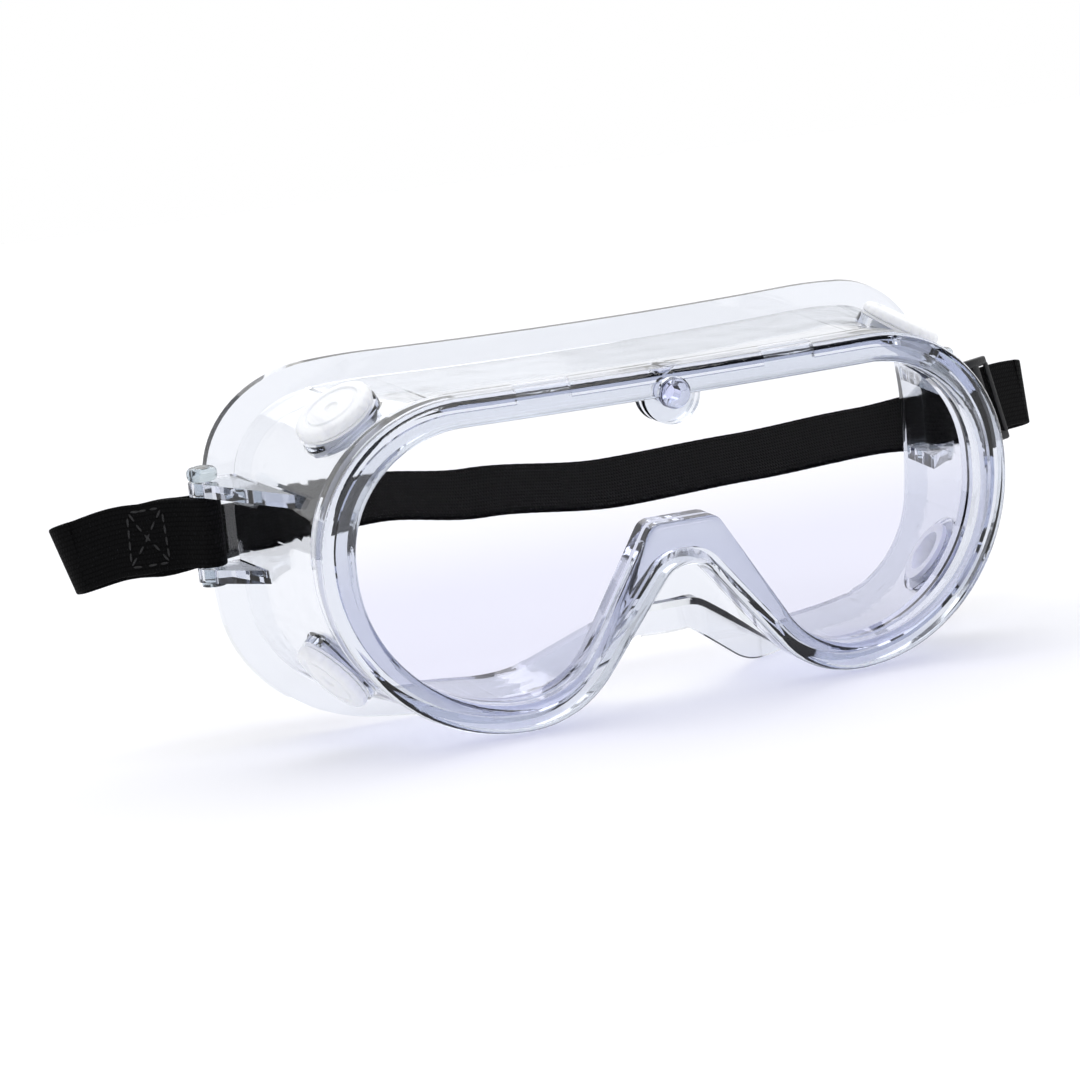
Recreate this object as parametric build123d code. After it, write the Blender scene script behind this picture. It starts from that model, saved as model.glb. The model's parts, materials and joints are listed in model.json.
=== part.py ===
from build123d import *
from collections import namedtuple
from math import cos, hypot, radians, sin, tan
import os

# Safety goggles, in millimetres: x to the wearer's side, y from the lens to the face, z up.
# Everything is drawn with the lens upright, depths counted back from its front and heights up
# from its lower edge. At the end the whole is tipped to stand on the lens lobes and the cheek
# flange, and its bottom centre becomes the origin.

# Driving dimensions of the frame
front_width = 158.0
front_height = 73.0
front_radius = 600.0        # the front bends back this gently round the face
bead_depth = 9.0
wall = 1.8
flange_out = 5.5            # the face flange stands out from the skirt by this much
flange_thickness = 2.0
stand_angle = 5.6           # the cheek flange is lower than the lens, so the lens leans forward

# Lens
lens_thickness = 1.6
lens_setback = 3.6          # bead's front face to the lens
lens_bite = 3.4             # how far the lens reaches into the bead
tab_length = 12.0
tab_offset = 28.0

# Vents
vent_depth = 28.0
vent_hole_radius = 6.0
vent_cap_radius = 9.2
boss_radius = 9.4

# Strap and lugs
pin_x = 89.4
pin_depth = 56.5
pin_radius = 1.9
lug_height = 43.3           # middle of the strap slot above the lens's lower edge
lug_arm = 3.0
strap_width = 15.5
strap_thickness = 1.4
strap_drop = 18.0           # the free strap hangs this many degrees below level
band_lean = 37.0            # the rear band lies over by this much more
band_depth = 20.5           # pins to the rear band
cut_x = 94.9                # end loops stop here and the runs begin

# One front view: the corner points of its right half and the radius of each corner
Outline = namedtuple("Outline", "half_width top bottom foot shoulder notch top_r side_r lobe_r notch_r")

rim_outline = Outline(front_width / 2, front_height, 0, 26.9, 3.4, 30, 32, 40, 24.5, 6.8)
window_outline = Outline(front_width / 2 - 7.2, front_height - 6.4, 6.2, 28, 7.5, 40, 25.5, 33, 19, 3.5)


def inset(shape, distance):
    # the same outline moved inwards all round
    rise = shape.notch - shape.bottom
    run = shape.foot - shape.shoulder
    slant = hypot(rise, run)
    foot = shape.foot + distance * (slant - run) / rise
    shoulder = shape.shoulder + distance * (slant - run) / rise
    return Outline(
        shape.half_width - distance, shape.top - distance, shape.bottom + distance, foot, shoulder,
        shape.notch + distance, shape.top_r - distance, shape.side_r - distance,
        shape.lobe_r - distance, shape.notch_r + distance * (0.5 if distance > 0 else 1),
    )


def outline_face(shape, depth):
    # the outline as an upright face, seen from the front
    s = shape
    corners = [(0, s.top), (s.half_width, s.top), (s.half_width, s.bottom), (s.foot, s.bottom),
               (s.shoulder, s.notch), (0, s.notch)]
    radii = [s.top_r, s.side_r, s.lobe_r, s.notch_r]
    half = FilletPolyline(*corners, radius=radii)
    return Plane.XZ.offset(-depth) * make_face(half + mirror(half, about=Plane.YZ))


def prism(shape, start, length):
    return extrude(outline_face(shape, start), amount=length, dir=(0, 1, 0))


def front_shell(setback, thickness):
    # upright cylinder wall whose foremost line lies at the given depth
    height = front_height * 3
    place = Pos(0, front_radius, front_height / 2)
    return place * Cylinder(front_radius - setback, height) - place * Cylinder(
        front_radius - setback - thickness, height)


def both_sides(solid):
    return [solid, mirror(solid, about=Plane.YZ)]


# --- lens, bead and stud

stud_height = front_height - 5.7
stud_radius = 3.3
shank_radius = 1.6
barb_radius = 2.6
tongue_setback = 1.6        # the tongue round the stud is set back from the bead's faces
barb_start = bead_depth - tongue_setback


def make_lens():
    sheet = prism(inset(rim_outline, lens_bite), -1, 30)
    for x in (-tab_offset, tab_offset):
        tab = Pos(x, 10, front_height - 2) * Box(tab_length, 40, 5.2)
        sheet += tab
    lens = sheet & front_shell(lens_setback, lens_thickness)
    return lens - stud_hole()


def stud_hole():
    return Pos(0, 10, stud_height) * Rot(90, 0, 0) * Cylinder(shank_radius, 40)


def make_bead(lens):
    ring = prism(rim_outline, -1, 30) - prism(window_outline, -2, 32)
    bead = ring & front_shell(0, bead_depth)
    front = bead.faces().sort_by(Axis.Y)[0]
    bead = fillet(front.edges(), 1.5)
    tongue = Pos(0, 10, stud_height - 0.4) * Rot(90, 0, 0) * Cylinder(6.4, 40)
    bead += tongue & front_shell(tongue_setback, bead_depth - 2 * tongue_setback)
    head_seat = Pos(0, tongue_setback - 5, stud_height) * Rot(90, 0, 0) * Cylinder(stud_radius + 0.3, 10)
    barb_seat = Pos(0, barb_start + 5, stud_height) * Rot(90, 0, 0) * Cylinder(barb_radius + 0.3, 10)
    return bead - lens - stud_hole() - head_seat - barb_seat


def turned(radius, start, end):
    # round bar along y between two depths
    return Pos(0, (start + end) / 2, 0) * Rot(90, 0, 0) * Cylinder(radius, end - start)


def make_stud():
    head = turned(stud_radius, -1.4, tongue_setback)
    head = fillet(head.faces().sort_by(Axis.Y)[0].edges(), 1.2)
    shank = turned(shank_radius, 0, barb_start + 1)
    barb = turned(barb_radius, barb_start, bead_depth + 0.6)
    return Pos(0, 0, stud_height) * (head + shank + barb)


# --- skirt, face flange, vent bosses and strap lugs

skirt_start = bead_depth
web_depth = 17.0            # the nose web is down to its low rear shape by here
loft_end = 84.0
side_flare = 0.095
top_flare = 0.022
bottom_flare = 0.02


def skirt_outline(depth):
    # outer outline of the skirt at a depth behind the front
    behind = depth - skirt_start
    web = min(behind / (web_depth - skirt_start), 1)
    return Outline(
        front_width / 2 - 1.5 + side_flare * behind, front_height - 1.5 + top_flare * behind,
        1.5 - bottom_flare * behind, 28 + 2.5 * web, 3.8 + 3.7 * web, 31 - 13.5 * web,
        30.5 - 0.17 * behind, 38.5 - 0.2 * behind, 22, 7.3,
    )


def skirt_loft(distance, end):
    depths = [skirt_start, web_depth, end]
    faces = [outline_face(inset(skirt_outline(d), distance), d) for d in depths]
    return loft(faces, ruled=True)


head_radius = 276.0
brow_depth = 49.0           # lens front to the middle of the forehead
nose_depth = 13.0
cheek_top = 42.0


def face_form(forward):
    # the wearer's side: a head cylinder with a nose wedge below it, moved forward
    circle = Pos(0, brow_depth + head_radius) * Circle(head_radius)
    wedge = make_face(Polyline((0, nose_depth), (55, 67.2), (55, 120), (-55, 120), (-55, 67.2),
                               (0, nose_depth)))
    lower = circle + wedge
    lower = fillet(lower.vertices().sort_by(Axis.Y)[0], 16)
    cheeks = [v for v in lower.vertices() if v.Y < 60 and abs(v.X) > 30]
    lower = fillet(cheeks, 30)
    form = extrude(circle, 120) + extrude(Pos(0, 0, -30) * lower, cheek_top + 30)
    return Pos(0, -forward, 0) * form


def vent_plane(corner):
    # outward facing plane on the skirt at a vent; corner is top or bottom
    o = skirt_outline(vent_depth)
    if corner == "top":
        angle, radius, z = 60, o.top_r, o.top - o.top_r
    else:
        angle, radius, z = -38, o.side_r, o.bottom + o.side_r
    a = radians(angle)
    point = (o.half_width - radius + radius * cos(a), vent_depth, z + radius * sin(a))
    return Plane(origin=point, x_dir=(0, 1, 0.2), z_dir=(cos(a), -0.16, sin(a)))


def disc(radius, low, high):
    return Pos(0, 0, (low + high) / 2) * Cylinder(radius, high - low)


def make_lug_arms():
    # two wedge shaped arms on the right side wall, each with a hole for the pin
    gap = strap_width / 2 + 0.3
    arms = Part()
    for tip_depth, low in ((24, lug_height + gap), (42, lug_height - gap - lug_arm)):
        tip = (front_width / 2 - 3 + side_flare * tip_depth, tip_depth)
        back = (81.5, pin_depth + 3)
        rim = FilletPolyline(tip, (pin_x + 1.2, pin_depth - 4), (pin_x + 3.8, pin_depth),
                             (pin_x + 1.2, pin_depth + 3.8), back, radius=[4, 2.5, 2.5])
        arms += Pos(0, 0, low) * extrude(make_face(rim + Line(back, tip)), lug_arm)
    return arms - Pos(pin_x, pin_depth, lug_height) * Cylinder(pin_radius, 60)


def make_flange():
    # thin collar on the face form, standing out all round the skirt's rear edge
    sheet = skirt_loft(-flange_out, loft_end) - skirt_loft(wall, loft_end + 1)
    return sheet & face_form(flange_thickness) - face_form(0)


def make_skirt():
    outer = skirt_loft(0, loft_end)
    for arms in both_sides(make_lug_arms()):
        outer += arms
    skirt = outer - face_form(flange_thickness) - skirt_loft(wall, loft_end + 1)
    skirt += make_flange()
    for corner in ("top", "bottom"):
        place = vent_plane(corner)
        for boss in both_sides(place * disc(boss_radius, -3.4, 0.3)):
            skirt += boss
        for hole in both_sides(place * disc(vent_hole_radius, -9, 6)):
            skirt -= hole
    return skirt - Pos(0, front_radius, front_height / 2) * (
        Cylinder(front_radius + 30, 300) - Cylinder(front_radius - bead_depth, 300))


# --- vents

def make_vent_base():
    tube = disc(vent_hole_radius, -4.6, 0.9) - disc(4.8, -5, 2)
    flange = disc(7.2, -4.6, -3.5) - disc(4.8, -5, 2)
    collar = disc(8.8, 0.35, 0.9) - disc(4.8, -5, 2)
    floor = disc(5.0, -1.2, 0) + disc(2.6, -1.2, 0.9)
    for port in PolarLocations(3.7, 6):
        floor -= port * Cylinder(0.75, 6)
    return tube + flange + collar + floor - disc(1.5, -2, 2)


def make_vent_cap():
    dome = disc(vent_cap_radius, 1.2, 3.4)
    dome = fillet(dome.edges().sort_by(Axis.Z)[-1], 1.4)
    return dome - disc(7.8, 1.1, 2.2) + disc(1.5, -1.0, 2.4)


# --- strap

lay_angle = 27.0            # plan angle of each run from the x axis
ply_offset = strap_thickness / 2 + 0.03
loop_offset = pin_radius + strap_thickness / 2 + 0.15
fold_radius = 3.6
tail_length = {"left": 20.0, "right": 24.0}
band_y = pin_depth + band_depth
corner_distance = (band_depth + ply_offset * cos(radians(lay_angle))) / sin(radians(lay_angle))


def along(distance, offset):
    # plan point on the right run: distance from the pin, offset to its outer side
    a = radians(lay_angle)
    return (pin_x + distance * cos(a) + offset * sin(a), pin_depth + distance * sin(a) - offset * cos(a))


def ribbon(path):
    # webbing standing on edge along a plan path
    return Pos(0, 0, lug_height - strap_width / 2) * extrude(trace(path, strap_thickness), strap_width)


def strap_path():
    return FilletPolyline(along(0, ply_offset), along(corner_distance, ply_offset), (104, band_y),
                          radius=fold_radius)


def beyond(limit, solid):
    # the part of a solid outside a plane across the x axis
    return solid & Pos(limit + 100, 0, 0) * Box(200, 400, 400)


def hang(solid):
    # turn about the line through both pins to the angle the free strap hangs at
    return Pos(0, pin_depth, lug_height) * Rot(-strap_drop, 0, 0) * Pos(0, -pin_depth, -lug_height) * solid


def make_end_loop():
    # teardrop round the pin, from one ply round to the other
    joined = 5.6
    turn = ThreePointArc(along(0, loop_offset), along(-loop_offset, 0), along(0, -loop_offset))
    legs = [Line(along(0, s * loop_offset), along(joined, s * ply_offset)) for s in (1, -1)]
    ends = [Line(along(joined, s * ply_offset), along(12, s * ply_offset)) for s in (1, -1)]
    loop = ribbon(ends[0] + legs[0] + turn + legs[1] + ends[1])
    return loop - Pos(cut_x + 50, 0, 0) * Box(100, 400, 400)


straight_end = corner_distance - fold_radius / tan(radians(lay_angle / 2))
fold_start_y = along(straight_end, ply_offset)[1]


def make_run():
    whole = beyond(cut_x, ribbon(strap_path()))
    return hang(whole - Pos(0, fold_start_y + 100, 0) * Box(400, 200, 400))


def make_tail(side):
    path = Line(along(0, -ply_offset), along(tail_length[side], -ply_offset))
    return hang(beyond(cut_x, ribbon(path)))


def band_section(x, lean, sag):
    place = Plane(origin=(x, band_y, lug_height - sag), x_dir=(0, 1, 0), z_dir=(1, 0, 0))
    return place * Rot(0, 0, -lean) * Rectangle(strap_thickness, strap_width)


def make_band():
    fold = ribbon(strap_path()) & Pos(0, fold_start_y + 100, 0) * Box(400, 200, 400)
    lean = band_lean
    stations = [(-104, 0, 0), (-72, lean, 0), (-46, lean, -3), (12, lean, 2.5), (78, lean, 0), (104, 0, 0)]
    back = loft([band_section(*station) for station in stations], ruled=True)
    for end in both_sides(fold):
        back += end
    return hang(back)


def make_slide():
    # three bar slide round both plies of the right run
    length, height = 10.0, strap_width + 5
    body = Box(length, 4.8, height) - Box(length + 1, 3.3, strap_width + 0.6)
    for x in (-2.4, 2.4):
        body -= Pos(x, 0, 0) * Box(2.4, 9, strap_width + 0.6)
    x, y = along(14, 0)
    return hang(Pos(x, y, lug_height) * Rot(0, 0, lay_angle) * body)


def make_seam():
    # thread bars that close the left loop, on the outer face of the run
    rows = []
    for distance in (10, 18):
        x, y = along(distance, ply_offset + strap_thickness / 2 + 0.15)
        rows.append(Pos(x, y, lug_height) * Rot(0, 0, lay_angle) * Box(1.2, 0.3, strap_width - 2))
    return mirror(hang(rows[0] + rows[1]), about=Plane.YZ)


def make_pin():
    arm_face = strap_width / 2 + 0.3 + lug_arm
    shaft = disc(pin_radius, -arm_face - 1, arm_face + 1)
    knob = fillet(disc(3.4, arm_face + 0.05, arm_face + 3.2).edges(), 1.3)
    foot = disc(2.7, -arm_face - 1.1, -arm_face - 0.05)
    return Pos(pin_x, pin_depth, lug_height) * (shaft + knob + foot)


def left_and_right(name, solid):
    right, left = both_sides(solid)
    return {f"{name}_left": left, f"{name}_right": right}


def make_parts():
    lens = make_lens()
    nodes = {"frame": make_bead(lens) + make_skirt(), "lens": lens, "lens_stud": make_stud()}
    for corner in ("top", "bottom"):
        place = vent_plane(corner)
        nodes |= left_and_right(f"vent_base_{corner}", place * make_vent_base())
        nodes |= left_and_right(f"vent_cap_{corner}", place * make_vent_cap())
    nodes |= left_and_right("lug_pin", make_pin())
    nodes |= left_and_right("strap_loop", make_end_loop())
    nodes |= left_and_right("strap_run", make_run())
    nodes["strap_tail_right"] = make_tail("right")
    nodes["strap_tail_left"] = mirror(make_tail("left"), about=Plane.YZ)
    nodes |= {"strap_band": make_band(), "adjuster_slide": make_slide(), "strap_seam": make_seam()}
    return nodes


def write_parts(nodes):
    os.makedirs("parts", exist_ok=True)
    tipped = {name: Rot(stand_angle, 0, 0) * solid for name, solid in nodes.items()}
    boxes = [solid.bounding_box() for solid in tipped.values()]
    middle = (min(box.min.Y for box in boxes) + max(box.max.Y for box in boxes)) / 2
    floor = min(box.min.Z for box in boxes)
    print("middle depth", middle, "floor", floor)
    for name, solid in tipped.items():
        export_step(Pos(0, -middle, -floor) * solid, f"parts/{name}.step")


write_parts(make_parts())
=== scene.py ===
import json
from math import acos, cos, degrees, pi, radians, sin, tan

import bmesh
import bpy
from mathutils import Matrix, Vector


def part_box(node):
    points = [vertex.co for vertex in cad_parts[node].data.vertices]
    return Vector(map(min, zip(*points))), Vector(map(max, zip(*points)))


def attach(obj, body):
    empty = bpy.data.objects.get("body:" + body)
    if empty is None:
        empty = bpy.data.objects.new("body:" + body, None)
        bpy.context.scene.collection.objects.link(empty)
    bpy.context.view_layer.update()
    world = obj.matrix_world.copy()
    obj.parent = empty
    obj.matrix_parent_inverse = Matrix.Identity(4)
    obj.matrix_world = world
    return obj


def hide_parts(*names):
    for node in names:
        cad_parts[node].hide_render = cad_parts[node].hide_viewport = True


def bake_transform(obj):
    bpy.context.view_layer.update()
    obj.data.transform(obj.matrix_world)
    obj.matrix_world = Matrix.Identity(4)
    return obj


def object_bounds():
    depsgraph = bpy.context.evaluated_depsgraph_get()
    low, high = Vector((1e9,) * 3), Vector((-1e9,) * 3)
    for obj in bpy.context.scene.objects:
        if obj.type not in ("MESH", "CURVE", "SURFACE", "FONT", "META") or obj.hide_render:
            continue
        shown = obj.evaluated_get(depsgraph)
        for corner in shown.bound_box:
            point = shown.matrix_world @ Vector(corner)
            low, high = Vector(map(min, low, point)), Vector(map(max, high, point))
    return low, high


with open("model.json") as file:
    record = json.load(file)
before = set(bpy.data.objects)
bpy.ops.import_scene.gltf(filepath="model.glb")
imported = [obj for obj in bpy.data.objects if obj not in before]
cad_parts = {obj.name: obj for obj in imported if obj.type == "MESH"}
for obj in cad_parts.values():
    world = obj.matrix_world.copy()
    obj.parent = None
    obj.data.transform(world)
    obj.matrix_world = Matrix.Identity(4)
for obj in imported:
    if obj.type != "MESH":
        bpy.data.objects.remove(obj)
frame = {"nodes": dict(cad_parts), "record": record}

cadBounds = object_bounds()
lowCorner, highCorner = (Vector(corner) for corner in cadBounds)
print("frame loaded", lowCorner, highCorner)

# Studio: camera, surroundings, floor and soft lights

cameraSetup = {
    "azimuth": -19.1,         # degrees round the object, from straight in front
    "elevation": 6.51,
    "roll": -7.57,
    "distance": 0.761,        # metres from the aim
    "focalLength": 121.4,     # millimetres
    "aimSide": -0.0332,       # metres from the middle of the object
    "aimBehindFront": 0.0042,
    "aimHeight": 0.0411,
}

studio = {
    "floorReach": 8,                     # metres
    "floorGap": 0.0002,                  # the floor lies this far under the goggles
    "floorColour": (0.93, 0.93, 0.94),
    "floorRoughness": 0.8,
    "floorShine": 0.2,
    "backColour": (1, 1, 1),             # behind the goggles
    "cameraSideColour": (0.12, 0.13, 0.17),
    "ceilingColour": (0.60, 0.61, 0.66),
    "surroundStrength": 1.0,
    "behindRange": (-0.45, 0.05),        # the surround turns from dark to pale over these slopes to the rear
    "aboveRange": (0.35, 0.8),           # and to the ceiling's colour over these slopes upwards
    # soft lights as far away as a sun: strength, spread in degrees, colour and aim
    "lights": {
        "overheadLight": (1.55, 75, (1, 0.99, 0.95), (-0.15, -0.5, -1)),
        "frontLight": (0.9, 40, (1, 0.99, 0.97), (-0.1, 1, -0.42)),
    },
    # how many times light may pass on through the clear walls
    "bounces": {"max_bounces": 28, "transmission_bounces": 24, "transparent_max_bounces": 24},
}


def addCamera():
    s = cameraSetup
    a, e, r = (radians(s[key]) for key in ("azimuth", "elevation", "roll"))
    back = Vector((sin(a) * cos(e), -cos(a) * cos(e), sin(e)))
    right = Vector((cos(a), sin(a), 0))
    up = back.cross(right)
    tiltedRight = right * cos(r) + up * sin(r)
    tiltedUp = back.cross(tiltedRight)
    aim = Vector((s["aimSide"], lowCorner.y + s["aimBehindFront"], lowCorner.z + s["aimHeight"]))
    data = bpy.data.cameras.new("studioCamera")
    data.lens = s["focalLength"]
    data.clip_start = 0.01
    camera = bpy.data.objects.new("studioCamera", data)
    axes = Matrix((tiltedRight, tiltedUp, back)).transposed()
    camera.matrix_world = Matrix.Translation(aim + back * s["distance"]) @ axes.to_4x4()
    bpy.context.scene.collection.objects.link(camera)
    bpy.context.scene.camera = camera


def addNode(tree, kind, settings=None, **inputs):
    # a node with its settings and its plain input values; an underscore stands for a space
    node = tree.nodes.new(kind)
    for name, value in (settings or {}).items():
        setattr(node, name, value)
    for name, value in inputs.items():
        node.inputs[name.replace("_", " ")].default_value = value
    return node


def addMath(tree, operation, first, second=None):
    node = addNode(tree, "ShaderNodeMath", {"operation": operation})
    for socket, value in zip(node.inputs, (first, second)):
        if isinstance(value, (int, float)):
            socket.default_value = value
        elif value is not None:
            tree.links.new(value, socket)
    return node.outputs[0]


def addRange(tree, value, low, high, start=0, end=1):
    # takes value from low..high to start..end, with soft ends
    node = addNode(tree, "ShaderNodeMapRange", {"interpolation_type": "SMOOTHSTEP"},
                   From_Min=low, From_Max=high, To_Min=start, To_Max=end)
    tree.links.new(value, node.inputs["Value"])
    return node.outputs["Result"]


mixInputs = (6, 7)                       # the colour sockets of a Mix node; its colour comes out of output 2


def addMix(tree, factor, first, second):
    # colour mix; each colour is a plain value or a socket
    node = addNode(tree, "ShaderNodeMix", {"data_type": "RGBA"})
    tree.links.new(factor, node.inputs[0])
    for socket, value in zip((node.inputs[i] for i in mixInputs), (first, second)):
        if isinstance(value, tuple):
            socket.default_value = (*value, 1)
        else:
            tree.links.new(value, socket)
    return node.outputs[2]


def addWorld():
    s = studio
    world = bpy.data.worlds.new("studioSurround")
    world.use_nodes = True
    tree = world.node_tree
    background = tree.nodes["Background"]
    direction = addNode(tree, "ShaderNodeTexCoord").outputs["Generated"]
    parts = addNode(tree, "ShaderNodeSeparateXYZ")
    tree.links.new(direction, parts.inputs[0])
    behind = addRange(tree, parts.outputs["Y"], *s["behindRange"])
    above = addRange(tree, parts.outputs["Z"], *s["aboveRange"])
    colour = addMix(tree, behind, s["cameraSideColour"], s["backColour"])
    colour = addMix(tree, above, colour, s["ceilingColour"])
    seen = addNode(tree, "ShaderNodeLightPath").outputs["Is Camera Ray"]
    colour = addMix(tree, seen, colour, s["backColour"])
    tree.links.new(colour, background.inputs["Color"])
    background.inputs["Strength"].default_value = s["surroundStrength"]
    bpy.context.scene.world = world


def newMaterial(name):
    material = bpy.data.materials.new(name)
    material.use_nodes = True
    tree = material.node_tree
    return material, tree, tree.nodes["Principled BSDF"]


def addFloor():
    s = studio
    bm = bmesh.new()
    bmesh.ops.create_grid(bm, x_segments=1, y_segments=1, size=s["floorReach"])
    bmesh.ops.translate(bm, vec=(0, 0, lowCorner.z - s["floorGap"]), verts=bm.verts)
    floor = newObject("studioFloor", bm)
    material, tree, shader = newMaterial("paperFloor")
    shader.inputs["Roughness"].default_value = s["floorRoughness"]
    shader.inputs["Specular IOR Level"].default_value = s["floorShine"]
    shader.inputs["Base Color"].default_value = (*s["floorColour"], 1)
    floor.data.materials.append(material)


def addLights():
    for name, (strength, spread, colour, aim) in studio["lights"].items():
        data = bpy.data.lights.new(name, "SUN")
        data.energy = strength
        data.angle = radians(spread)
        data.color = colour
        light = bpy.data.objects.new(name, data)
        light.matrix_world = Vector(aim).to_track_quat("-Z", "Y").to_matrix().to_4x4()
        bpy.context.scene.collection.objects.link(light)


def newObject(name, bm, smoothBelow=None):
    # a finished mesh object; edges flatter than smoothBelow degrees are shaded smooth
    mesh = bpy.data.meshes.new(name)
    bm.to_mesh(mesh)
    bm.free()
    if smoothBelow:
        mesh.polygons.foreach_set("use_smooth", [True] * len(mesh.polygons))
        mesh.set_sharp_from_angle(angle=radians(smoothBelow))
    obj = bpy.data.objects.new(name, mesh)
    bpy.context.scene.collection.objects.link(obj)
    return obj


addCamera()
addWorld()
addFloor()
addLights()
bpy.context.scene.view_settings.view_transform = "Standard"
for setting, count in studio["bounces"].items():
    setattr(bpy.context.scene.cycles, setting, count)
print("studio ready")

# Shared surface effects, as node groups on object coordinates or on the webbing's own map


def newGroup(name, numbers, outputs):
    # group with float inputs at the given values and float outputs
    tree = bpy.data.node_groups.new(name, "ShaderNodeTree")
    for key, value in numbers.items():
        tree.interface.new_socket(key, in_out="INPUT", socket_type="NodeSocketFloat").default_value = value
    for key in outputs:
        tree.interface.new_socket(key, in_out="OUTPUT", socket_type="NodeSocketFloat")
    return tree, tree.nodes.new("NodeGroupInput"), tree.nodes.new("NodeGroupOutput")


mouldedLook = {
    "scales": {"Wave Scale": 60, "Grain Scale": 1800, "Mark Scale": 300},
    "markStretch": (1, 0.12, 0.35),      # the handling marks are drawn out one way
    "markTurn": (0.4, 0.2, 0.9),
    "markRange": (0.62, 0.75),           # only the highest streaks count as marks
}


def buildMouldedGroup():
    # moulded plastic: slow waves from the mould, a fine grain and a few handling marks
    s = mouldedLook
    tree, given, result = newGroup("mouldedSurface", s["scales"], ("Wave", "Grain", "Marks"))
    place = addNode(tree, "ShaderNodeTexCoord").outputs["Object"]
    for key, scale, detail in (("Wave", "Wave Scale", 1), ("Grain", "Grain Scale", 3)):
        noise = addNode(tree, "ShaderNodeTexNoise", Detail=detail)
        tree.links.new(place, noise.inputs["Vector"])
        tree.links.new(given.outputs[scale], noise.inputs["Scale"])
        tree.links.new(noise.outputs[0], result.inputs[key])
    stretch = addNode(tree, "ShaderNodeMapping", Scale=s["markStretch"], Rotation=s["markTurn"])
    tree.links.new(place, stretch.inputs["Vector"])
    streaks = addNode(tree, "ShaderNodeTexNoise", Detail=4)
    tree.links.new(stretch.outputs[0], streaks.inputs["Vector"])
    tree.links.new(given.outputs["Mark Scale"], streaks.inputs["Scale"])
    tree.links.new(addRange(tree, streaks.outputs[0], *s["markRange"]), result.inputs["Marks"])
    return tree


weaveLook = {
    "counts": {"Ribs": 950, "Picks": 1500},    # per metre across and along the webbing
    "pickShift": 0.5,                          # of a pick, from one rib to the next
    "ribRound": 0.6,                           # powers that make ribs and picks fuller than a sine
    "pickRound": 0.5,
    "valleyRange": (0.55, 0.1),                # heights where a valley between the yarns begins and is full
    "fluffScale": 2600,
    "fluffRange": (0.5, 0.75),
}


def buildWeaveGroup():
    # knitted elastic: ribs along the strap crossed by fine picks, in metres on the webbing's map
    s = weaveLook
    tree, given, result = newGroup("elasticWeave", s["counts"], ("Height", "Valley", "Fluff"))
    parts = addNode(tree, "ShaderNodeSeparateXYZ")
    uv = addNode(tree, "ShaderNodeUVMap", {"uv_map": "webbingMap"}).outputs[0]
    tree.links.new(uv, parts.inputs[0])
    across = addMath(tree, "MULTIPLY", parts.outputs["Y"], given.outputs["Ribs"])
    along = addMath(tree, "MULTIPLY", parts.outputs["X"], given.outputs["Picks"])
    rib = addMath(tree, "ABSOLUTE", addMath(tree, "SINE", addMath(tree, "MULTIPLY", across, pi)))
    row = addMath(tree, "FLOOR", across)
    shifted = addMath(tree, "ADD", along, addMath(tree, "MULTIPLY", row, s["pickShift"]))
    pick = addMath(tree, "ABSOLUTE", addMath(tree, "SINE", addMath(tree, "MULTIPLY", shifted, pi)))
    height = addMath(tree, "MULTIPLY", addMath(tree, "POWER", rib, s["ribRound"]),
                     addMath(tree, "POWER", pick, s["pickRound"]))
    tree.links.new(height, result.inputs["Height"])
    tree.links.new(addRange(tree, height, *s["valleyRange"]), result.inputs["Valley"])
    fluff = addNode(tree, "ShaderNodeTexNoise", Scale=s["fluffScale"], Detail=3)
    tree.links.new(uv, fluff.inputs["Vector"])
    tree.links.new(addRange(tree, fluff.outputs[0], *s["fluffRange"]), result.inputs["Fluff"])
    return tree


mouldedGroup = buildMouldedGroup()
weaveGroup = buildWeaveGroup()


def useGroup(tree, group):
    return addNode(tree, "ShaderNodeGroup", {"node_tree": group}).outputs


def addBump(tree, shader, height, depth):
    bump = addNode(tree, "ShaderNodeBump", Distance=depth, Strength=1)
    tree.links.new(height, bump.inputs["Height"])
    tree.links.new(bump.outputs[0], shader.inputs["Normal"])


# each clear plastic: tint of a surface and of its shadow, colour and density of its thick parts, bending of
# light, roughness clean and marked, depth of the mould's waves in metres and share of the fine grain in them
clearFinishes = {
    "clear_vinyl": {
        "tint": (0.85, 0.868, 0.893), "shade": (0.82, 0.825, 0.91), "depthColour": (0.44, 0.50, 0.70),
        "density": 26, "ior": 1.50, "smooth": (0.03, 0.09), "wave": 0.00008, "grain": 0.015,
    },
    "clear_lens": {
        "tint": (0.99, 0.99, 1.0), "shade": (0.88, 0.88, 0.96), "depthColour": (0.7, 0.72, 0.95),
        "density": 8, "ior": 1.06, "smooth": (0.0, 0.03), "wave": 0.000004, "grain": 0,
    },
    "clear_stud": {
        "tint": (0.9, 0.91, 0.96), "shade": (0.8, 0.81, 0.9), "depthColour": (0.4, 0.45, 0.8),
        "density": 60, "ior": 1.49, "smooth": (0.05, 0.15), "wave": 0.00005, "grain": 0.02,
    },
    "lug_pin": {
        "tint": (0.86, 0.9, 0.92), "shade": (0.75, 0.8, 0.85), "depthColour": (0.3, 0.42, 0.5),
        "density": 90, "ior": 1.5, "smooth": (0.06, 0.2), "wave": 0.00005, "grain": 0.02,
    },
}


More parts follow.
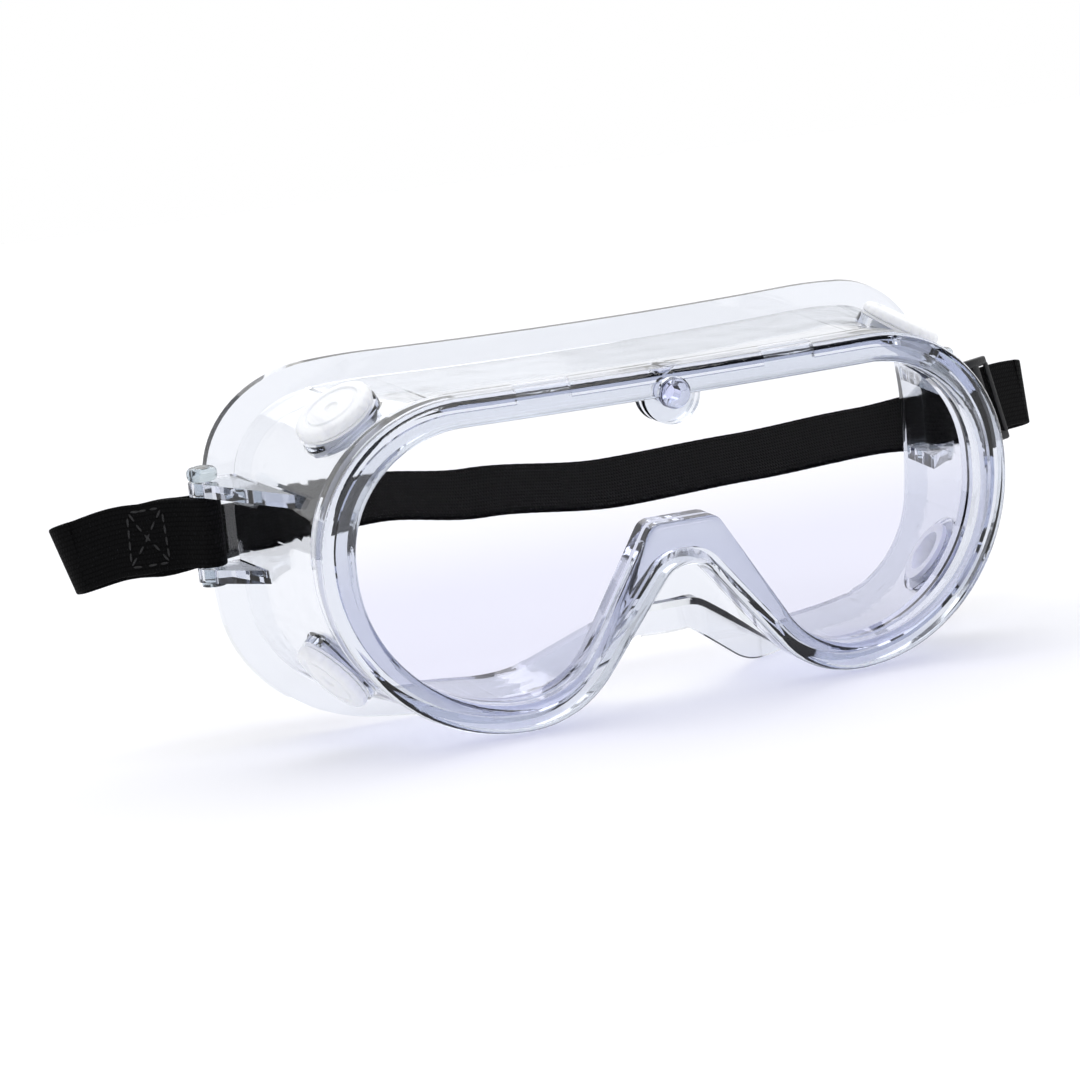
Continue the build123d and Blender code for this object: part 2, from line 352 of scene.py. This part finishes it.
def clearPlastic(name, tint, shade, depthColour, density, ior, smooth, wave, grain):
    material, tree, shader = newMaterial(name)
    shader.inputs["Base Color"].default_value = (*tint, 1)
    shader.inputs["IOR"].default_value = ior
    shader.inputs["Transmission Weight"].default_value = 1
    surface = useGroup(tree, mouldedGroup)
    shine = addRange(tree, surface["Marks"], 0, 1, *smooth)
    tree.links.new(shine, shader.inputs["Roughness"])
    height = addMath(tree, "ADD", surface["Wave"], addMath(tree, "MULTIPLY", surface["Grain"], grain))
    addBump(tree, shader, height, wave)
    clear = addNode(tree, "ShaderNodeBsdfTransparent", Color=(*shade, 1))
    path = tree.nodes.new("ShaderNodeLightPath")
    mix = tree.nodes.new("ShaderNodeMixShader")
    tree.links.new(path.outputs["Is Shadow Ray"], mix.inputs[0])
    tree.links.new(shader.outputs[0], mix.inputs[1])
    tree.links.new(clear.outputs[0], mix.inputs[2])
    output = tree.nodes["Material Output"]
    tree.links.new(mix.outputs[0], output.inputs["Surface"])
    depth = addNode(tree, "ShaderNodeVolumeAbsorption", Color=(*depthColour, 1), Density=density)
    tree.links.new(depth.outputs[0], output.inputs["Volume"])
    return material


# each solid plastic: colour, colour of its handling marks, roughness low and high, depth of the grain in
# metres, how much light goes into it and how strongly it gives off its own colour as painted light
solidFinishes = {
    "white_vent": {
        "colour": (0.83, 0.84, 0.855), "markColour": (0.75, 0.76, 0.78), "shine": (0.35, 0.55),
        "grain": 0.00006, "softness": 0.35, "paintedGlow": 0.12,
    },
    "black_slide": {
        "colour": (0.012, 0.012, 0.013), "markColour": (0.05, 0.05, 0.052), "shine": (0.32, 0.55),
        "grain": 0.00008, "softness": 0, "paintedGlow": 0,
    },
}
shineRange = (0.3, 0.7)                  # waves of the mould that take the roughness from low to high
solidShine = 0.3
softReach = (0.004, 0.004, 0.005)        # metres that red, green and blue light go in


def solidPlastic(name, colour, markColour, shine, grain, softness, paintedGlow):
    material, tree, shader = newMaterial(name)
    surface = useGroup(tree, mouldedGroup)
    shade = addMix(tree, surface["Marks"], colour, markColour)
    tree.links.new(shade, shader.inputs["Base Color"])
    tree.links.new(addRange(tree, surface["Wave"], *shineRange, *shine), shader.inputs["Roughness"])
    shader.inputs["Specular IOR Level"].default_value = solidShine
    # painted light: an emission in the plastic's own colour lifts its shaded sides towards white
    shader.inputs["Emission Color"].default_value = (*colour, 1)
    shader.inputs["Emission Strength"].default_value = paintedGlow
    shader.inputs["Subsurface Weight"].default_value = softness
    shader.inputs["Subsurface Radius"].default_value = softReach
    addBump(tree, shader, surface["Grain"], grain)
    return material


elasticFinish = {
    "yarn": (0.0035, 0.0035, 0.0037),
    "valleyShade": (0.0008, 0.0008, 0.0008),
    "fluff": (0.011, 0.011, 0.012),
    "fluffShare": 0.35,
    "roughness": (0.75, 0.95),
    "shine": 0.06,
    "sheen": 0.008,
    "sheenRoughness": 0.5,
    "depth": 0.00016,
}


def elasticMaterial(name):
    s = elasticFinish
    material, tree, shader = newMaterial(name)
    weave = useGroup(tree, weaveGroup)
    # painted shade: the yarn colour is darkened in the valleys between the yarns
    shade = addMix(tree, weave["Valley"], s["yarn"], s["valleyShade"])
    shade = addMix(tree, addMath(tree, "MULTIPLY", weave["Fluff"], s["fluffShare"]), shade, s["fluff"])
    tree.links.new(shade, shader.inputs["Base Color"])
    tree.links.new(addRange(tree, weave["Valley"], 0, 1, *s["roughness"]), shader.inputs["Roughness"])
    shader.inputs["Specular IOR Level"].default_value = s["shine"]
    shader.inputs["Sheen Weight"].default_value = s["sheen"]
    shader.inputs["Sheen Roughness"].default_value = s["sheenRoughness"]
    addBump(tree, shader, weave["Height"], s["depth"])
    return material


threadFinish = {"dark": (0.003, 0.003, 0.003), "pale": (0.014, 0.014, 0.015), "twists": 900, "uneven": 1.5,
                "roughness": 0.6, "depth": 0.00006}


def threadMaterial(name):
    s = threadFinish
    material, tree, shader = newMaterial(name)
    place = addNode(tree, "ShaderNodeTexCoord").outputs["Object"]
    twist = addNode(tree, "ShaderNodeTexWave", {"bands_direction": "DIAGONAL"}, Scale=s["twists"],
                    Distortion=s["uneven"])
    tree.links.new(place, twist.inputs["Vector"])
    shade = addMix(tree, twist.outputs["Fac"], s["dark"], s["pale"])
    tree.links.new(shade, shader.inputs["Base Color"])
    shader.inputs["Roughness"].default_value = s["roughness"]
    addBump(tree, shader, twist.outputs["Fac"], s["depth"])
    return material


# colour of the lens high up and its lavender painted shade low down, and the heights in metres between which
# it changes
lensPaintedShade = {"upper": (0.99, 0.99, 1.0), "lower": (0.81, 0.81, 0.905), "from": 0.030, "to": 0.056}


def paintLensShade(material):
    # painted shade: the lens is tinted lavender low down, deepest at the bottom, for the shaded floor seen
    # through it
    tree = material.node_tree
    parts = addNode(tree, "ShaderNodeSeparateXYZ")
    tree.links.new(addNode(tree, "ShaderNodeTexCoord").outputs["Object"], parts.inputs[0])
    height = addRange(tree, parts.outputs["Z"], lensPaintedShade["from"], lensPaintedShade["to"])
    shade = addMix(tree, height, lensPaintedShade["lower"], lensPaintedShade["upper"])
    tree.links.new(shade, tree.nodes["Principled BSDF"].inputs["Base Color"])


finishes = {}
for build, kinds in ((clearPlastic, clearFinishes), (solidPlastic, solidFinishes)):
    for slot, values in kinds.items():
        finishes[slot] = build(slot.title().replace("_", ""), **values)
paintLensShade(finishes["clear_lens"])
finishes["black_elastic"] = elasticMaterial("BlackElastic")
finishes["strap_thread"] = threadMaterial("StrapThread")

slotOf = {part["node"]: part["material_slot"] for part in frame["record"]["subparts"]}
for name, node in frame["nodes"].items():
    node.data.materials.clear()
    node.data.materials.append(finishes[slotOf[name]])
print("materials ready")


def finishPiece(obj, slotName):
    obj.data.materials.append(finishes[slotName])
    return obj


# Pieces set into the soft frame: each shrinks by a hair, so that light meets two surfaces at the joint

fitGap = 0.00003                         # metres


def easePiece(nodeName, name):
    # the node's mesh moved in along its normals, which are summed over corners at the same place
    mesh = frame["nodes"][nodeName].data.copy()
    outward = {}
    places = [tuple(round(c, 6) for c in vert.co) for vert in mesh.vertices]
    for place, vert in zip(places, mesh.vertices):
        outward[place] = outward.get(place, Vector()) + vert.normal
    for place, vert in zip(places, mesh.vertices):
        vert.co -= outward[place].normalized() * fitGap
    mesh.materials.clear()
    obj = bpy.data.objects.new(name, mesh)
    bpy.context.scene.collection.objects.link(obj)
    finishPiece(obj, slotOf[nodeName])
    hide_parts(nodeName)
    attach(obj, "frame")


easePiece("lens", "lensSheet")
easePiece("lens_stud", "browStud")
for side in ("left", "right"):
    easePiece(f"lug_pin_{side}", f"lugPin{side.title()}")
    for level in ("top", "bottom"):
        easePiece(f"vent_base_{level}_{side}", f"ventSeat{level.title()}{side.title()}")
print("fitted pieces eased")

# Vent caps: turned shells with a ring groove, a gate mark in the middle and grip notches round the rim

ventCap = {
    # radius and height above the seat in millimetres, from the gate mark out, under the rim and down the stem
    "profile": [(0, 2.95), (1.3, 2.95), (1.7, 3.32), (5.5, 3.38), (5.8, 3.0), (6.4, 3.0), (6.7, 3.38),
                (7.7, 3.36), (8.5, 3.12), (9.0, 2.6), (9.16, 2.0), (9.16, 1.35), (9.0, 1.22), (7.8, 1.22),
                (7.8, 2.2), (1.5, 2.2), (1.5, -0.98), (0, -0.98)],
    "top": 3.4,               # height of the node's top face above the seat
    "steps": 96,
    "notches": 24,
    "notchDepth": 0.22,
    "notchShare": 0.24,       # of each step round the rim
    "notchBeyond": 8.9,       # the notches cut only what lies outside this radius
    "notchBelow": 2.7,        # and below this height
    "smoothBelow": 32,
}


def topFace(mesh):
    # middle and direction of the largest flat face that looks away from the goggles
    areas, middles = {}, {}
    inside = (lowCorner + highCorner) / 2
    for face in mesh.polygons:
        if face.normal.dot(face.center - inside) < 0:
            continue
        key = tuple(round(c, 2) for c in face.normal)
        areas[key] = areas.get(key, 0) + face.area
        middles[key] = middles.get(key, Vector()) + face.center * face.area
    key = max(areas, key=areas.get)
    return middles[key] / areas[key], Vector(key).normalized()


def makeVentCap(nodeName, name):
    s = ventCap
    bm = bmesh.new()
    verts = [bm.verts.new((radius, 0, height)) for radius, height in s["profile"]]
    edges = [bm.edges.new(pair) for pair in zip(verts, verts[1:])]
    bmesh.ops.spin(bm, geom=verts + edges, cent=(0, 0, 0), axis=(0, 0, 1), dvec=(0, 0, 0), angle=2 * pi,
                   steps=s["steps"], use_merge=True)
    bmesh.ops.remove_doubles(bm, verts=bm.verts, dist=0.001)      # the poles
    bmesh.ops.recalc_face_normals(bm, faces=bm.faces)
    each = 2 * pi / s["notches"]
    for vert in bm.verts:
        reach = vert.co.xy.length
        if reach > s["notchBeyond"] and vert.co.z < s["notchBelow"]:
            share = (vert.co.xy.angle_signed(Vector((1, 0))) % each) / each
            if share < s["notchShare"]:
                vert.co.xy *= 1 - s["notchDepth"] / reach
    middle, outward = topFace(frame["nodes"][nodeName].data)
    turn = outward.to_track_quat("Z", "Y").to_matrix() * 0.001
    place = Matrix.Translation(middle - outward * s["top"] * 0.001) @ turn.to_4x4()
    bmesh.ops.transform(bm, matrix=place, verts=bm.verts)
    cap = finishPiece(newObject(name, bm, s["smoothBelow"]), slotOf[nodeName])
    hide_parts(nodeName)
    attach(cap, "frame")


for side in ("left", "right"):
    for level in ("top", "bottom"):
        makeVentCap(f"vent_cap_{level}_{side}", f"ventCap{level.title()}{side.title()}")
print("vent caps turned")

# Strap: woven elastic laid along routes drawn in plan about the lug pins, in millimetres

jointOf = {joint["name"]: joint for joint in frame["record"]["behaviour"]["joints"]}
pinLine = Vector(jointOf["strap_swing"]["pos_m"])
strapBack = Vector(jointOf["strap_stretch"]["axis"])            # to the rear along the hanging strap
restBack = Vector(next(m["axis"] for m in frame["record"]["mounts"] if m["name"] == "face_seal"))
layAngle = acos(jointOf["slide_adjust"]["axis"][0])
pinSide = sum(corner.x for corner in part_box("lug_pin_right")) / 2
strapDrop = restBack.angle(strapBack)

webbing = {
    "width": 15.5,
    "thickness": 1.34,
    "selvedge": 0.42,         # rounding of the long edges
    "ribCuts": 11,
    "step": 0.9,              # length of one mesh row
    "feel": 0.3,              # the route's direction is felt this far each way
    "ripple": 0.07,           # unevenness of the long edges
    "rippleTurn": 2.4,        # and how fast it comes and goes
    "smoothBelow": 40,
    "ply": 0.73,              # the two plies lie this far each side of the run's middle
    "turn": 2.72,             # radius of the loop round the pin
    "loopPast": 8,            # the loop leaves the pin this many degrees past square to the run
    "loopAngle": 196,         # and wraps it over this many
    "loopPoints": 36,
    "cut": 5.5,               # sideways distance from the pin to where the loop ends
    "settle": 10,             # the strap reaches its hanging angle over this length
    "settled": 30,            # pieces that start this far along hang at the full angle
    "bend": {"left": (2, 15), "right": (1, 7)},   # two distances from the loop along the run
    "bandBack": 20.5,         # the rear band lies this far behind the pins
    "rearFrom": 14.35,        # what lies further back than this has the rear band's height and lean
    "bandStep": 2,            # its route has a point this often
    "foldRadius": 4.1,
    "foldPoints": 24,
    "runReach": 24,           # sideways length of a run, from the loop to its fold
    "foldRise": {"left": 0.5, "right": 2.5},   # the webbing stands higher at the folds
    "runRise": {"left": 1.4, "right": 0.3},    # and half way along the runs
    "tail": {"left": 20, "right": 24},         # distance from the pin to the end of the inner ply
    "foldTilt": {"left": 0.24, "right": 0.06},  # outward tip of the webbing at the folds
    "tiltFrom": 14,           # it grows from here
    "tiltOver": 14,
    "stretchFrom": 0.114,     # metres from the middle, out towards the sides
    "stretchTo": 0.04,        # and metres from the middle, further in
    # across the back: side position, height and lean in degrees
    "bandLie": [(-112, 0, 0), (-98, 0.9, 20), (-76, 2.0, 37), (-46, 3.7, 38), (-21, 0.9, 36), (12, -2.0, 37),
                (45, -1.2, 38), (78, 0, 37), (98, 0, 20), (112, 0, 0)],
}


def smoothStep(t):
    t = min(max(t, 0), 1)
    return t * t * (3 - 2 * t)


def alongRun(distance, offset):
    return Vector((distance * cos(layAngle) + offset * sin(layAngle),
                   distance * sin(layAngle) - offset * cos(layAngle)))


def arc(centre, radius, start, end, count):
    angles = [radians(start + (end - start) * i / count) for i in range(count + 1)]
    return [centre + radius * Vector((cos(angle), sin(angle))) for angle in angles]


def lieAt(side):
    # height and lean of the rear band at a side position in millimetres
    knots = webbing["bandLie"]
    if side <= knots[0][0] or side >= knots[-1][0]:
        return 0, 0
    for low, high in zip(knots, knots[1:]):
        if side <= high[0]:
            t = smoothStep((side - low[0]) / (high[0] - low[0]))
            return low[1] + (high[1] - low[1]) * t, low[2] + (high[2] - low[2]) * t


class Route:
    # a plan line from the pin outwards, with the strap's hang, lean and height along it

    def __init__(self, plan, hand, hangFrom=None, isBand=False):
        self.plan, self.hand, self.hangFrom, self.isBand = plan, hand, hangFrom, isBand
        self.sideName = "right" if hand > 0 else "left"
        self.reach = [0]
        for a, b in zip(plan, plan[1:]):
            self.reach.append(self.reach[-1] + (b - a).length)
        self.length = self.reach[-1]

    def planAt(self, distance):
        distance = min(max(distance, 0), self.length)
        for i in range(1, len(self.reach)):
            if distance <= self.reach[i] or i == len(self.reach) - 1:
                share = (distance - self.reach[i - 1]) / (self.reach[i] - self.reach[i - 1])
                return self.plan[i - 1].lerp(self.plan[i], share)

    def hangAt(self, distance):
        if self.hangFrom is None:
            return 0
        return strapDrop * smoothStep((distance + self.hangFrom) / webbing["settle"])

    def pointAt(self, distance):
        w = webbing
        spot = self.planAt(distance)
        side = self.hand * (pinSide * 1000 + spot.x)
        height = lieAt(side)[0] if self.isBand and spot.y > w["rearFrom"] else 0
        out = min(max((spot.x - w["cut"]) / w["runReach"], 0), 1)
        height += w["foldRise"][self.sideName] * smoothStep(out)
        height += w["runRise"][self.sideName] * sin(pi * out) ** 2
        back, up = self.axesAt(distance)
        return Vector((side / 1000, pinLine.y, pinLine.z)) + (back * spot.y + up * height) / 1000

    def axesAt(self, distance):
        # rearward and upward directions of the hanging strap
        turn = Matrix.Rotation(-self.hangAt(distance), 3, "X")
        back = turn @ restBack
        return back, Vector((1, 0, 0)).cross(back)

    def acrossAt(self, distance):
        w = webbing
        back, up = self.axesAt(distance)
        spot = self.planAt(distance)
        if not self.isBand:
            return up
        side = self.hand * (pinSide * 1000 + spot.x)
        lean = radians(lieAt(side)[1]) if spot.y > w["rearFrom"] else 0
        tilt = w["foldTilt"][self.sideName] * smoothStep((spot.x - w["tiltFrom"]) / w["tiltOver"])
        across = up * cos(lean) + back * sin(lean) + Vector((self.hand * tilt, 0, 0))
        return across.normalized()

    def frameAt(self, distance):
        # centre, direction along, direction across and the normal of the webbing's face
        feel = webbing["feel"]
        along = (self.pointAt(distance + feel) - self.pointAt(distance - feel)).normalized()
        across = self.acrossAt(distance)
        across = (across - along * across.dot(along)).normalized()
        return self.pointAt(distance), along, across, along.cross(across)


def makeWebbing(name, route, length):
    # closed strip with rounded long edges, shaped along the route
    w = webbing
    bm = bmesh.new()
    bmesh.ops.create_cube(bm, size=1)
    bmesh.ops.scale(bm, vec=(1, w["width"], w["thickness"]), verts=bm.verts)

    def running(axis, least):
        # edges that run along an axis for more than a least length
        return [e for e in bm.edges if abs(e.verts[0].co[axis] - e.verts[1].co[axis]) > least]

    bmesh.ops.bevel(bm, geom=running(0, 0.5), offset=w["selvedge"], affect="EDGES", segments=3,
                    profile=0.5, material=-1)
    bmesh.ops.subdivide_edges(bm, edges=running(1, w["width"] / 2), cuts=w["ribCuts"], use_grid_fill=True)
    rows = max(3, round(length / w["step"]))
    bmesh.ops.subdivide_edges(bm, edges=running(0, 0.5), cuts=rows, use_grid_fill=True)
    layer = bm.loops.layers.uv.new("webbingMap")
    for face in bm.faces:
        for loop in face.loops:
            co = loop.vert.co
            loop[layer].uv = ((co.x + 0.5) * length / 1000, (co.y + w["width"] / 2) / 1000)
    places = {}
    for vert in bm.verts:
        share = round(vert.co.x + 0.5, 5)
        if share not in places:
            places[share] = route.frameAt(share * length)
        centre, along, across, normal = places[share]
        ripple = w["ripple"] * sin(share * length * w["rippleTurn"]) * abs(vert.co.y) / w["width"]
        vert.co = centre + (across * vert.co.y + normal * (vert.co.z + ripple)) / 1000
    bmesh.ops.recalc_face_normals(bm, faces=bm.faces)
    obj = finishPiece(newObject(name, bm, w["smoothBelow"]), "black_elastic")
    return obj, (w["width"] / 1000, length / 1000)


runRoutes = {}
# where the line of the run meets the line of the band, and how much of the run the fold leaves straight
cornerDistance = (webbing["bandBack"] + webbing["ply"] * cos(layAngle)) / sin(layAngle)
foldReach = webbing["foldRadius"] / tan(layAngle / 2)
straightEnd = cornerDistance - foldReach


def cutDistance(offset):
    return (webbing["cut"] - offset * sin(layAngle)) / cos(layAngle)


def makeStrapSide(sideName, hand):
    w = webbing
    label = sideName.title()
    ply = w["ply"]
    outerCut, innerCut = cutDistance(ply), cutDistance(-ply)
    squareToRun = degrees(layAngle) - 90

    start = squareToRun + w["loopPast"]
    loopPlan = [alongRun(outerCut, ply)]
    loopPlan += arc(Vector((0, 0)), w["turn"], start, start - w["loopAngle"], w["loopPoints"])
    loopPlan.append(alongRun(innerCut, -ply))
    loopRoute = Route(loopPlan, hand)
    loop, flat = makeWebbing(f"webbingLoop{label}", loopRoute, loopRoute.length)
    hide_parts(f"strap_loop_{sideName}")
    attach(loop, "frame")

    runRoute = Route([alongRun(outerCut, ply), alongRun(straightEnd, ply)], hand, hangFrom=0)
    bend = [runRoute.pointAt(distance) for distance in w["bend"][sideName]]
    run, flat = makeWebbing(f"webbingRun{label}", runRoute, runRoute.length)
    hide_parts(f"strap_run_{sideName}")
    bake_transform(run)

    tailRoute = Route([alongRun(innerCut, -ply), alongRun(w["tail"][sideName], -ply)], hand, hangFrom=0)
    tail, flat = makeWebbing(f"webbingTail{label}", tailRoute, tailRoute.length)
    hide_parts(f"strap_tail_{sideName}")
    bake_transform(tail)

    # the band's route runs one step past the middle, so that the two halves meet square
    step = w["bandStep"]
    centre = alongRun(cornerDistance, ply) - Vector((foldReach, w["foldRadius"]))
    bandPlan = arc(centre, w["foldRadius"], squareToRun, 90, w["foldPoints"])
    toMiddle = pinSide * 1000 + bandPlan[-1].x
    bandPlan += [Vector((bandPlan[-1].x - way, w["bandBack"])) for way in range(step, int(toMiddle), step)]
    bandPlan += [Vector((-pinSide * 1000 - past, w["bandBack"])) for past in (0, step)]
    bandRoute = Route(bandPlan, hand, hangFrom=w["settled"], isBand=True)
    band, flat = makeWebbing(f"webbingBand{label}", bandRoute, bandRoute.length - step)
    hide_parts("strap_band")
    follow = (Vector((hand * w[key], 0, 0)) for key in ("stretchFrom", "stretchTo"))
    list(follow)
    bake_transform(band)
    runRoutes[sideName] = runRoute


makeStrapSide("right", 1)
makeStrapSide("left", -1)
print("strap laid, drop", degrees(strapDrop))

# Stitching: one box of thread that closes the left loop

stitching = {
    "stitch": 2.0,
    "gap": 0.55,
    "thread": 0.26,           # radius
    "flatness": 0.8,
    "first": 3.4,             # the box lies between these distances from the loop
    "last": 11.6,
    "inset": 1.7,             # from the webbing's edges
    "lift": 0.06,             # of the thread's middle over the webbing
    "smoothBelow": 60,
}


def addStitch(bm, centre, direction, normal):
    # one lock stitch: a thread hump that dips into the webbing at both ends
    s = stitching
    made = bmesh.ops.create_uvsphere(bm, u_segments=8, v_segments=7, radius=1)["verts"]
    bmesh.ops.scale(bm, vec=(s["thread"], s["thread"] * s["flatness"], s["stitch"] / 2), verts=made)
    axes = Matrix((normal.cross(direction), normal, direction)).transposed()
    bmesh.ops.transform(bm, matrix=Matrix.Translation(centre) @ (axes * 0.001).to_4x4(), verts=made)


def makeStitching():
    s = stitching
    route = runRoutes["left"]
    half = webbing["width"] / 2 - s["inset"]
    lift = webbing["thickness"] / 2 + s["lift"]
    pitch = s["stitch"] + s["gap"]
    depth = s["last"] - s["first"]
    bm = bmesh.new()
    outward = -1 if route.frameAt(s["first"])[3].x > 0 else 1      # the run's outer face

    def sew(distance, spot, alongShare, acrossShare):
        # a stitch at a distance from the loop and a spot across, in a direction of the webbing
        centre, along, across, normal = route.frameAt(distance)
        direction = (along * alongShare + across * acrossShare).normalized()
        addStitch(bm, centre + (across * spot + normal * lift * outward) / 1000, direction, normal)

    count = int(2 * half / pitch)
    for distance in (s["first"], s["last"]):
        for i in range(count):
            sew(distance, (i - (count - 1) / 2) * pitch, 0, 1)
    count = int(depth / pitch)
    for edge in (-half, half):
        for i in range(count):
            sew(s["first"] + (i + 0.6) * pitch, edge, 1, 0)
    for diagonal in (-1, 1):
        for i in range(count + 2):
            share = (i + 0.5) / (count + 2)
            sew(s["first"] + share * depth, diagonal * half * (2 * share - 1), depth, diagonal * 2 * half)
    stitches = finishPiece(newObject("loopStitching", bm, s["smoothBelow"]), "strap_thread")
    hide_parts("strap_seam")
    bend = [route.pointAt(distance) for distance in webbing["bend"]["left"]]
    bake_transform(stitches)


makeStitching()

# Adjuster: a three bar slide over both plies of the right run

adjuster = {
    "length": 10,             # along the strap
    "height": 20.5,
    "depth": 4.8,
    "rail": 2.2,              # height of the top and bottom rails
    "railRound": 0.6,
    "plate": 0.75,            # thickness of the bars
    "bars": [(-4.3, 1.4), (0, 2.4), (4.3, 1.4)],      # place along the strap and width
    "barOverlap": 0.5,        # of a bar into each rail
    "barRound": 0.24,
    "middle": 14,             # distance from the pin
    "grips": 7,               # ridges for the thumb on the middle bars
    "gripPitch": 1.9,
    "gripSize": (1.8, 0.7, 0.5),
    "gripSunk": 0.05,
    "gripRound": 0.16,
    "smoothBelow": 45,
}


def addBlock(bm, size, centre, rounding):
    made = bmesh.ops.create_cube(bm, size=1)["verts"]
    bmesh.ops.scale(bm, vec=size, verts=made)
    bmesh.ops.translate(bm, vec=centre, verts=made)
    edges = list({edge for vert in made for edge in vert.link_edges})
    bmesh.ops.bevel(bm, geom=edges, offset=rounding, affect="EDGES", segments=3, profile=0.5, material=-1)


def makeAdjuster():
    s = adjuster
    bm = bmesh.new()
    railPlace = (s["height"] - s["rail"]) / 2
    barPlace = (s["depth"] - s["plate"]) / 2
    barLength = s["height"] - 2 * s["rail"] + 2 * s["barOverlap"]
    for end in (-1, 1):
        addBlock(bm, (s["length"], s["rail"], s["depth"]), (0, end * railPlace, 0), s["railRound"])
    for face in (-1, 1):
        for place, width in s["bars"]:
            addBlock(bm, (width, barLength, s["plate"]), (place, 0, face * barPlace), s["barRound"])
        for row in range(s["grips"]):
            height = (row - (s["grips"] - 1) / 2) * s["gripPitch"]
            addBlock(bm, s["gripSize"], (0, height, face * (s["depth"] / 2 - s["gripSunk"])), s["gripRound"])
    straight = Route([alongRun(0, 0), alongRun(2 * s["middle"], 0)], 1, hangFrom=webbing["settled"])
    centre, along, across, normal = straight.frameAt(s["middle"])
    axes = Matrix((along, across, normal)).transposed() * 0.001
    bmesh.ops.transform(bm, matrix=Matrix.Translation(centre) @ axes.to_4x4(), verts=bm.verts)
    slide = finishPiece(newObject("adjusterSlide", bm, s["smoothBelow"]), "black_slide")
    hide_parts("adjuster_slide")
    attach(slide, "slide")


makeAdjuster()
print("stitching and adjuster made")
